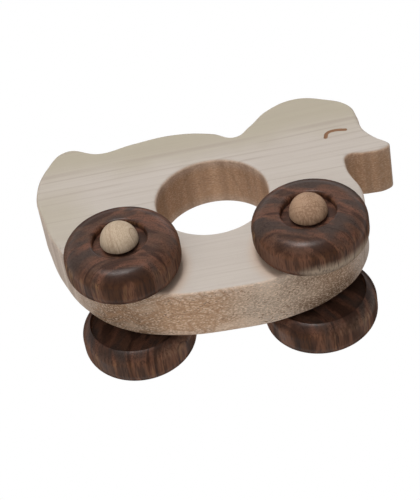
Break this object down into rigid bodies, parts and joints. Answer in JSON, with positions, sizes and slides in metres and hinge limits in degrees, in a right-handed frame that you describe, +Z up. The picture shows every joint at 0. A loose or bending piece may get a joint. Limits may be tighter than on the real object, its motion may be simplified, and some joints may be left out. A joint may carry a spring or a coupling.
{
  "type": "wheeled duck toy",
  "caption": "Wooden push-along duck: a flat board sawn to a duck's outline, with a round finger hole, rolling on turned wheels that spin on dome-headed axle pegs.",
  "frame": {"origin": "on the floor under the middle of the length and of the board's thickness, with the toy standing on its wheels", "axes": "+X towards the beak, +Y towards the duck's left side and along the axles, +Z up"},
  "size_m": [0.1296, 0.0638, 0.1038],
  "materials": {
    "maple": "sanded pale maple, lightly oiled",
    "walnut": "turned dark walnut, oiled to a soft sheen",
    "beech": "turned pale beech, bare"
  },
  "bodies": {
    "duck": {"duck_board": "maple", "axle_peg_front_right": "beech", "axle_peg_front_left": "beech", "axle_peg_rear_right": "beech", "axle_peg_rear_left": "beech"},
    "front_right_wheel": {"wheel_front_right": "walnut"},
    "front_left_wheel": {"wheel_front_left": "walnut"},
    "rear_right_wheel": {"wheel_rear_right": "walnut"},
    "rear_left_wheel": {"wheel_rear_left": "walnut"}
  },
  "joints": [
    {"name": "front_right_spin", "type": "hinge", "parent": "duck", "child": "front_right_wheel", "pos_m": [0.03125, -0.0184, 0.02], "axis": [0, 1, 0], "continuous": true},
    {"name": "front_left_spin", "type": "hinge", "parent": "duck", "child": "front_left_wheel", "pos_m": [0.03125, 0.0184, 0.02], "axis": [0, 1, 0], "continuous": true},
    {"name": "rear_right_spin", "type": "hinge", "parent": "duck", "child": "rear_right_wheel", "pos_m": [-0.03325, -0.0184, 0.02], "axis": [0, 1, 0], "continuous": true},
    {"name": "rear_left_spin", "type": "hinge", "parent": "duck", "child": "rear_left_wheel", "pos_m": [-0.03325, 0.0184, 0.02], "axis": [0, 1, 0], "continuous": true}
  ]
}
